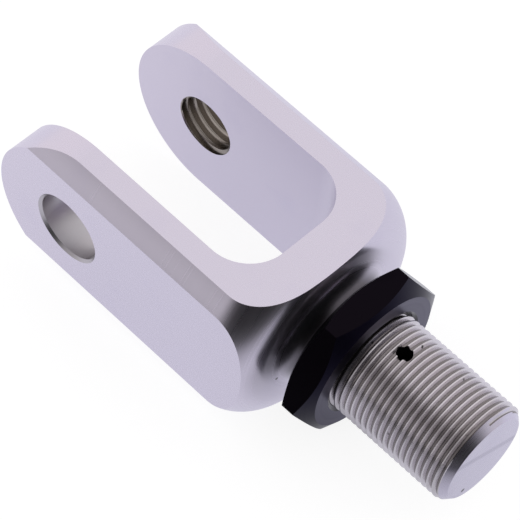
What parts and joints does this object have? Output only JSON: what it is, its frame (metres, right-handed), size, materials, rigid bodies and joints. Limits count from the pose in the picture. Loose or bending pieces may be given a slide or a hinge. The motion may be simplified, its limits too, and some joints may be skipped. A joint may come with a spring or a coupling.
{
  "type": "clevis rod end",
  "caption": "Forked rod end with a plain and a tapped ear, a threaded shank with a radial locking hole, and a thin hexagonal lock nut.",
  "frame": {"origin": "where the pin axis crosses the rod axis, midway between the ears", "axes": "+X along the rod axis towards the end of the threaded shank; +Y along the pin axis towards the tapped ear; +Z square to both, out of the fork's upper face; the part lies on its lower face"},
  "size_m": [0.1155, 0.048, 0.04],
  "materials": {
    "fork_steel": "bright satin, turned and milled",
    "blackened_nut": "black oxide, semi-gloss"
  },
  "bodies": {
    "fork": {"clevis_fork": "fork_steel"},
    "nut": {"lock_nut": "blackened_nut"}
  },
  "joints": [
    {"name": "nut_travel", "type": "slide", "parent": "fork", "child": "nut", "axis": [1, 0, 0], "range_m": [0, 0.03]}
  ]
}
